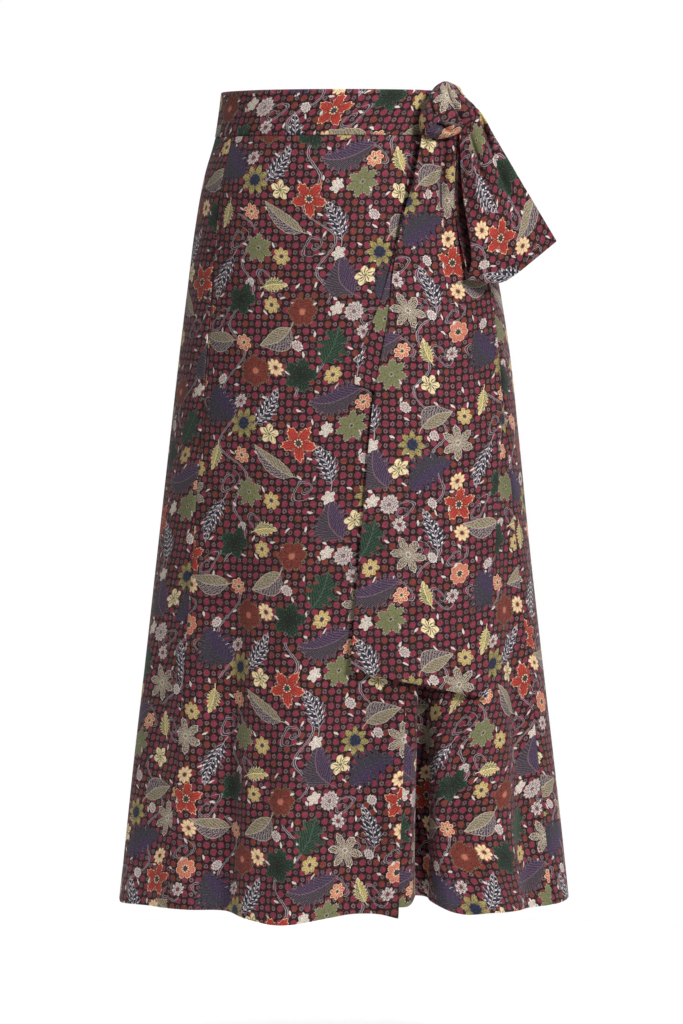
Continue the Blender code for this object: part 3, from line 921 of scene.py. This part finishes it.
STAR = (5, 0.55, 1.6, 0.0, 2.2, 0.0, "cream", "umber", "cream", "olive")
WHITE = (8, 0.74, 1.8, 1.0, 1.8, 0.9, "white", "mauve", "maroon", "raspberry")
DAISY = (7, 0.66, 1.8, 0.0, 2.6, 0.5, "mustard", "cream", "peach", "slate")
PEACH = (9, 0.72, 1.8, 0.0, 2.4, 0.5, "cream", "peach", "coral", "umber")
SMALL_CORAL = (7, 0.68, 1.8, 0.0, 2.2, 0.6, "coral", "cream", "cream", "slate")
BUD = (11, 0.82, 1.4, 1.5, 1.2, 0.95, "white", "mauve", "white", "mauve")
BLOSSOM = (5, 0.62, 1.6, 1.5, 0.0, 0.9, "tan", "white", "white", "tan")

SMALL_FLOWERS = [
    (3, -2, 10, 11, *STAR), NO_FLOWER, (-4, 3, 25, 9.5, *DAISY), (5, 4, 0, 8.5, *WHITE),
    (6, -4, 20, 6, *BUD), (-3, -5, 12, 9.5, *PEACH), NO_FLOWER, (4, 2, 33, 9, *SMALL_CORAL),
    (-5, 1, 0, 8.5, *WHITE), (2, 5, 50, 9.5, *PEACH), (-5, 6, 75, 6.5, *BUD), (6, -3, 8, 8, *BLOSSOM),
    (-2, 4, 30, 11, *STAR), (4, 5, 120, 6, *BUD), (3, -6, 18, 9.5, *DAISY), NO_FLOWER,
    (-6, -5, 40, 6, *BUD), (-6, -2, 5, 9, *SMALL_CORAL), (5, 5, 40, 9, *DAISY), NO_FLOWER,
    (-4, 2, 22, 8, *BLOSSOM), (5, -3, 5, 6.5, *BUD), (2, -4, 60, 11, *STAR), (-3, 5, 0, 8.5, *WHITE),
    (5, -1, 14, 9.5, *PEACH), NO_FLOWER, (-4, -6, 95, 6, *BUD), (-5, -4, 27, 9.5, *DAISY),
    NO_FLOWER, (3, 3, 45, 8, *BLOSSOM), (-2, -3, 0, 9, *SMALL_CORAL), (3, 6, 60, 6, *BUD),
]

LEAF_COLUMNS = "dx dy turn length width bend lobe tooth veins seeds rough main second line"
TWO_TONE = (23, 10.5, 5, 5.0, 0.0, 4.4, 0, 0.84, "purple", "khaki", "tan")
SEEDED = (23, 9.5, -4, 7.0, 0.5, 9.0, 1, 0.30, "navy", "navy", "lilac")
PLUME = (27, 15, 9, 5.0, 0.5, 3.6, 0, 0.60, "slate", "purple", "mauve")
SERRATE = (14, 6.5, 2, 3.4, 0.5, 3.2, 0, 0.80, "olive", "mustard", "cream")
DARK = (21, 14, -3, 9.0, 0.9, 4.4, 0, 0.30, "forest", "forest", "leaf")
SHADE = (28, 16, 7, 6.5, 0.9, 4.6, 0, 0.60, "slate", "purple", "slate")

LEAVES = [
    (3, 2, 55, *TWO_TONE), (-4, 3, 15, *SEEDED), (5, -4, -60, *TWO_TONE), (0, 5, 150, *SERRATE),
    (-3, -5, -20, *SEEDED), (2, 4, 95, *PLUME), (-5, 0, 35, *SERRATE), (2, -3, 40, *SHADE),
    (4, 3, 125, *TWO_TONE), (-2, -3, -35, *DARK), (3, 5, 10, *SEEDED), (-5, 2, 70, *TWO_TONE),
    (0, -4, -75, *SERRATE), (4, 4, 25, *PLUME), (-2, 2, -50, *SHADE), (-3, 3, 165, *SEEDED),
]


def draw_vines(pen, x, y, seen):
    """Wavy double lines down the cloth, and curls off them: spirals, turn plus radius over a pitch."""
    (length, swing), (long_length, long_swing) = VINE_WAVES
    sway = wave(y, length) * swing + wave(y, long_length) * long_swing
    across = abs((x + sway) % VINE_PITCH - VINE_MIDDLE)
    line = (abs(across - VINE_LINE) < VINE_LINE_HALF) * (seen > VINE_SEEN)
    pen.paint("navy", (across < VINE_HALF) * (seen > VINE_SEEN) * 0.7)
    pen.paint("lilac", line * 0.8)
    column, row, dx, dy = cell_of(x + sway + CURL_SHIFT, y, CURL_CELL)
    chance = pen.chance(pen.place(column % CURL_CELLS, row % CURL_CELLS, CURL_SEED))
    away = distance(dx, dy)
    spiral = fract(away / CURL_PITCH - direction(dx, dy) + chance * 3)
    near = (away < CURL_RADIUS) * (away > CURL_HOLE) * (chance > 0.60)
    pen.paint("navy", (abs(spiral - 0.5) < 0.12) * near * 0.6)
    pen.paint("lilac", (abs(abs(spiral - 0.5) - 0.10) < 0.034) * near * 0.7)


def draw_slivers(pen, x, y):
    """Small almonds, abs(x) / 1.2 + y * y / 12 < 1, at a chance place and turn in nearly half the cells."""
    column, row, dx, dy = cell_of(x, y, REPEAT / SLIVER_CELLS)
    chance = pen.chance(pen.place(column % SLIVER_CELLS, row % SLIVER_CELLS, SLIVER_SEED), 1)
    first, second, third = pen.parts(chance)
    half = SLIVER_DRIFT / 2
    dx, dy = turned(dx + first * SLIVER_DRIFT - half, dy + second * SLIVER_DRIFT - half, third * 360)
    almond = (abs(dx) / 1.2 + dy * dy / 12) < 1
    pen.paint("white", almond * (fract(first * 13 + third * 7) > 0.55) * 0.85)


def cloth_surface(pen, x, y):
    """Soft cotton: uneven colour, a fine bumpy weave and a little sheen."""
    blotches = pen.noise(pen.place(x, y), 0.02, 2.0) * 0.30 + 0.85
    channels = [channel * blotches for channel in pen.parts(pen.colour)]
    pen.feed(pen.surface.inputs["Base Color"], pen.place(*channels))
    threads = wave(x, WEAVE) * wave(y, WEAVE)
    bump = pen.node("Bump", {}, {"Strength": 0.35, "Distance": 0.0002, "Height": threads})
    pen.feed(pen.surface.inputs["Normal"], bump)
    for name, value in {"Roughness": 0.8, "Specular IOR Level": 0.15, "Sheen Weight": 0.08}.items():
        pen.surface.inputs[name].default_value = value


def cloth_places_in_mm(pen):
    u, v, _ = pen.parts(pen.node("UVMap", {"uv_map": "cloth"}, {}))
    return u * MM, v * MM


def wrong_side_and_shade_shader(name):
    """The cloth's wrong side: the dots show through it, duller, and darkened further as painted shade for
    the loop's hollow.
    """
    pen = Shader(name)
    x, y = cloth_places_in_mm(pen)
    grain = pen.noise(pen.place(x, y), 0.9, 1.0)
    pen.colour = pen.mix("black", "maroon", 0.25)
    draw_dots(pen, x, y, grain)
    # painted shade: black laid over the whole wrong side, so that the loop's hollow looks shadowed
    pen.paint("black", 0.6)
    cloth_surface(pen, x, y)
    return pen.material


def print_shader(name):
    """The printed cloth: dots, vines, and leaves and flowers listed in charts, on the cloth's own map in
    mm.
    """
    pen = Shader(name)
    cloth_x, cloth_y = cloth_places_in_mm(pen)
    place = pen.place(cloth_x, cloth_y)
    grain = pen.noise(place, 0.9, 1.0)
    seen = pen.noise(place, 0.012, 0.0)
    wobble_x, wobble_y, _ = pen.parts(pen.noise(place, 0.25, 0.0, 1))
    x, y = cloth_x + wobble_x * WOBBLE, cloth_y + wobble_y * WOBBLE
    pen.colour = pen.mix("black", "maroon", (grain > 0.56) * 0.6)
    draw_dots(pen, x, y, grain)
    x = x + wave(y, WARP_LENGTH) * WARP_SWING
    y = y + wave(x, WARP_LENGTH) * WARP_SWING
    draw_vines(pen, x, y, seen)
    draw_slivers(pen, x, y)

    pitch = REPEAT / CHARTED
    column, row, dx, dy = cell_of(x + pitch / 2, y + pitch / 2, pitch)
    leaf = pen.chart(chart_cell(column, row, CHARTED, CHARTED), LEAF_COLUMNS, LEAVES)
    draw_leaves(pen, dx, dy, grain, leaf)
    slant = np.sqrt(0.5)
    column, row, dx, dy = cell_of((x + y) * slant, (y - x) * slant, pitch * slant)
    shift = (row / CHARTED).math("FLOOR") * CHARTED
    small_cell = chart_cell(column - shift, row, 2 * CHARTED, CHARTED)
    small = pen.chart(small_cell, FLOWER_COLUMNS, SMALL_FLOWERS)
    draw_flowers(pen, dx, dy, grain, small, 2)
    column, row, dx, dy = cell_of(x, y, pitch)
    large = pen.chart(chart_cell(column, row, CHARTED, CHARTED), FLOWER_COLUMNS, LARGE_FLOWERS)
    draw_flowers(pen, dx, dy, grain, large, 5)

    fleck = pen.noise(place, 0.55, 2.0)
    pen.paint("black", (fleck > 0.60) * 0.30)
    pen.paint("tan", (fleck < 0.36) * 0.08)
    cloth_surface(pen, cloth_x, cloth_y)
    return pen.material


# ---- the garment


def add_panel(name, points, cloths, node):
    points = creased(name, points)
    return add_cloth(name, points, hemmed(points), cloths, node)


def add_garment(cloths):
    points = panel_points(RIGHT_SEAM + 360, OVER_EDGE + 360, RIGHT_FRONT_COLUMNS, seams=(True, False))
    panel = add_panel("right_front", points, cloths, "front_over")
    points = panel_points(UNDER_EDGE, LEFT_SEAM, LEFT_FRONT_COLUMNS, seams=(False, True), under=True)
    panel = add_panel("left_front", points, cloths, "front_under")
    points = panel_points(LEFT_SEAM, RIGHT_SEAM + 360, BACK_COLUMNS, seams=(True, True))
    panel = add_panel("back_panel", points, cloths, "back")
    points = creased("waistband_cloth", waistband_points())
    band = add_cloth("waistband_cloth", points, BAND_THICK, cloths, "waistband")


def add_stretch(name, points, cloths, node):
    return add_cloth(name, creased(name, points), SASH_THICK, cloths, node)


def add_sash(cloths):
    points = tail_points(LONG_END, *LONG_HEM, *LONG_END_GRID)
    end = add_stretch("long_end", points, cloths, "sash_long_end")
    points = tail_points(SHORT_END, *SHORT_HEM, *SHORT_END_GRID)
    end = add_stretch("short_end", points, cloths, "sash_short_end")
    loop = add_stretch("bow_loop", loop_points(*LOOP_GRID), cloths, "sash_loop")
    add_knot("knot", *knot_points(*KNOT_GRID), cloths[0])


# ---- floor, light and camera

FLOOR_HEIGHT = -1.03
FLOOR_RADIUS = 1.1
FLOOR_SIDES = 96
CAMERA_PLACE = (0, -5, -0.18)
CAMERA_AIM = (0, 0, -0.4312)
FRAME_HEIGHT = 1024 * 0.00109  # what the view takes in at the waistband's centre, in metres
SENSOR = 24
SURROUND_LIGHT = 0.10
MIDDLE = (0, 0, -0.4)
WAIST = (0, 0, -0.1)

# Each area light's power, size, place, what it points at, and its spread in degrees
LIGHTS = {
    "key": (15, 0.6, (1.6, -2.5, 1.1), WAIST, 75),
    "left_fill": (1.4, 0.9, (-2.6, -1.2, 1.0), WAIST, 90),
    "right_fill": (1.0, 0.9, (2.6, -1.2, 1.0), WAIST, 90),
    "top": (55, 4.5, (0, 0, 2.6), MIDDLE, 50),
    "back_key": (13, 1.0, (1.6, 3.6, 1.3), WAIST, 75),
    "back_fill": (3, 1.2, (-2.4, 2.4, 0.8), WAIST, 90),
}


def look_at(obj, place, aim):
    """Puts a light or camera at a place and points it."""
    obj.location = place
    obj.rotation_euler = (Vector(aim) - obj.location).to_track_quat("-Z", "Y").to_euler()
    bpy.context.scene.collection.objects.link(obj)


def add_area_light(name, power, size, place, aim, spread):
    light = bpy.data.lights.new(name, "AREA")
    light.energy = power
    light.size = size
    light.spread = np.radians(spread)
    look_at(bpy.data.objects.new(name, light), place, aim)


def add_world():
    """A plain white surround: dimmer as a light on the cloth than it looks."""
    world = bpy.data.worlds.new("surround")
    bpy.context.scene.world = world
    world.use_nodes = True
    nodes, links = world.node_tree.nodes, world.node_tree.links
    dim, bright = nodes["Background"], nodes.new("ShaderNodeBackground")
    dim.inputs["Strength"].default_value = SURROUND_LIGHT
    for background in (dim, bright):
        background.inputs["Color"].default_value = (1, 1, 1, 1)
    choose = nodes.new("ShaderNodeMixShader")
    path = nodes.new("ShaderNodeLightPath")
    links.new(path.outputs["Is Camera Ray"], choose.inputs[0])
    links.new(dim.outputs[0], choose.inputs[1])
    links.new(bright.outputs[0], choose.inputs[2])
    links.new(choose.outputs[0], nodes["World Output"].inputs["Surface"])


def add_floor():
    """A pale round floor, a little below the hem."""
    turn = np.linspace(0, 2 * np.pi, FLOOR_SIDES + 1)[:-1]
    rim = [FLOOR_RADIUS * np.cos(turn), FLOOR_RADIUS * np.sin(turn), np.full(FLOOR_SIDES, FLOOR_HEIGHT)]
    mesh = bpy.data.meshes.new("floor")
    mesh.from_pydata(np.stack(rim, -1).tolist(), [], [list(range(FLOOR_SIDES))])
    material = bpy.data.materials.new("floor")
    material.use_nodes = True
    surface = material.node_tree.nodes["Principled BSDF"]
    surface.inputs["Base Color"].default_value = (0.93, 0.93, 0.93, 1)
    surface.inputs["Roughness"].default_value = 0.9
    mesh.materials.append(material)
    floor = bpy.data.objects.new("floor", mesh)
    bpy.context.scene.collection.objects.link(floor)


def add_camera():
    camera = bpy.data.objects.new("camera", bpy.data.cameras.new("camera"))
    look_at(camera, CAMERA_PLACE, CAMERA_AIM)
    camera.data.sensor_fit = "VERTICAL"
    camera.data.sensor_height = SENSOR
    camera.data.lens = SENSOR / FRAME_HEIGHT * (Vector(CAMERA_AIM) - camera.location).length
    bpy.context.scene.camera = camera


def add_room():
    bpy.context.scene.view_settings.view_transform = "Standard"
    add_world()
    add_floor()
    add_camera()
    for name, settings in LIGHTS.items():
        add_area_light(name, *settings)


CLOTHS = [print_shader("print"), wrong_side_and_shade_shader("wrong_side")]
add_garment(CLOTHS)
add_sash(CLOTHS)
add_room()
